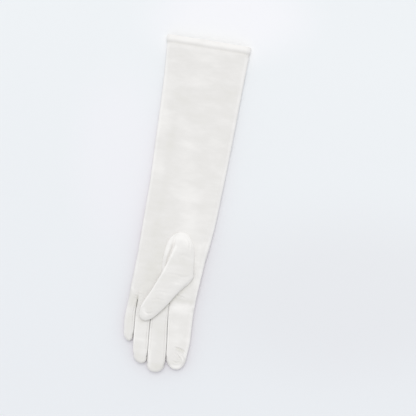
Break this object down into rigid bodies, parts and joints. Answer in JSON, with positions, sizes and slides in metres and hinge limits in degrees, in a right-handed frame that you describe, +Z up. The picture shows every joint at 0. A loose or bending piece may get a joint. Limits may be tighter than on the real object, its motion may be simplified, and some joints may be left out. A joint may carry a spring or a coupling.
{
  "type": "faux suede glove",
  "caption": "Long pale faux suede dress glove for the left hand, lying palm up with its thumb folded across the palm and its mouth open.",
  "frame": {"origin": "bottom centre of the bounding box, on the surface that the glove lies on", "axes": "+Z up, +Y along the glove towards the open mouth, +X towards the thumb and index finger"},
  "size_m": [0.1124, 0.4416, 0.02],
  "materials": {
    "suede": "soft brushed nap, warm off-white",
    "thread": "matte spun sewing thread, off-white"
  },
  "bodies": {
    "root": {"trank_palm": "suede", "trank_back": "suede", "hem": "suede", "thumb_upper": "suede", "thumb_under": "suede", "fourchette_index_middle": "suede", "fourchette_middle_ring": "suede", "fourchette_ring_little": "suede"}
  },
  "joints": []
}
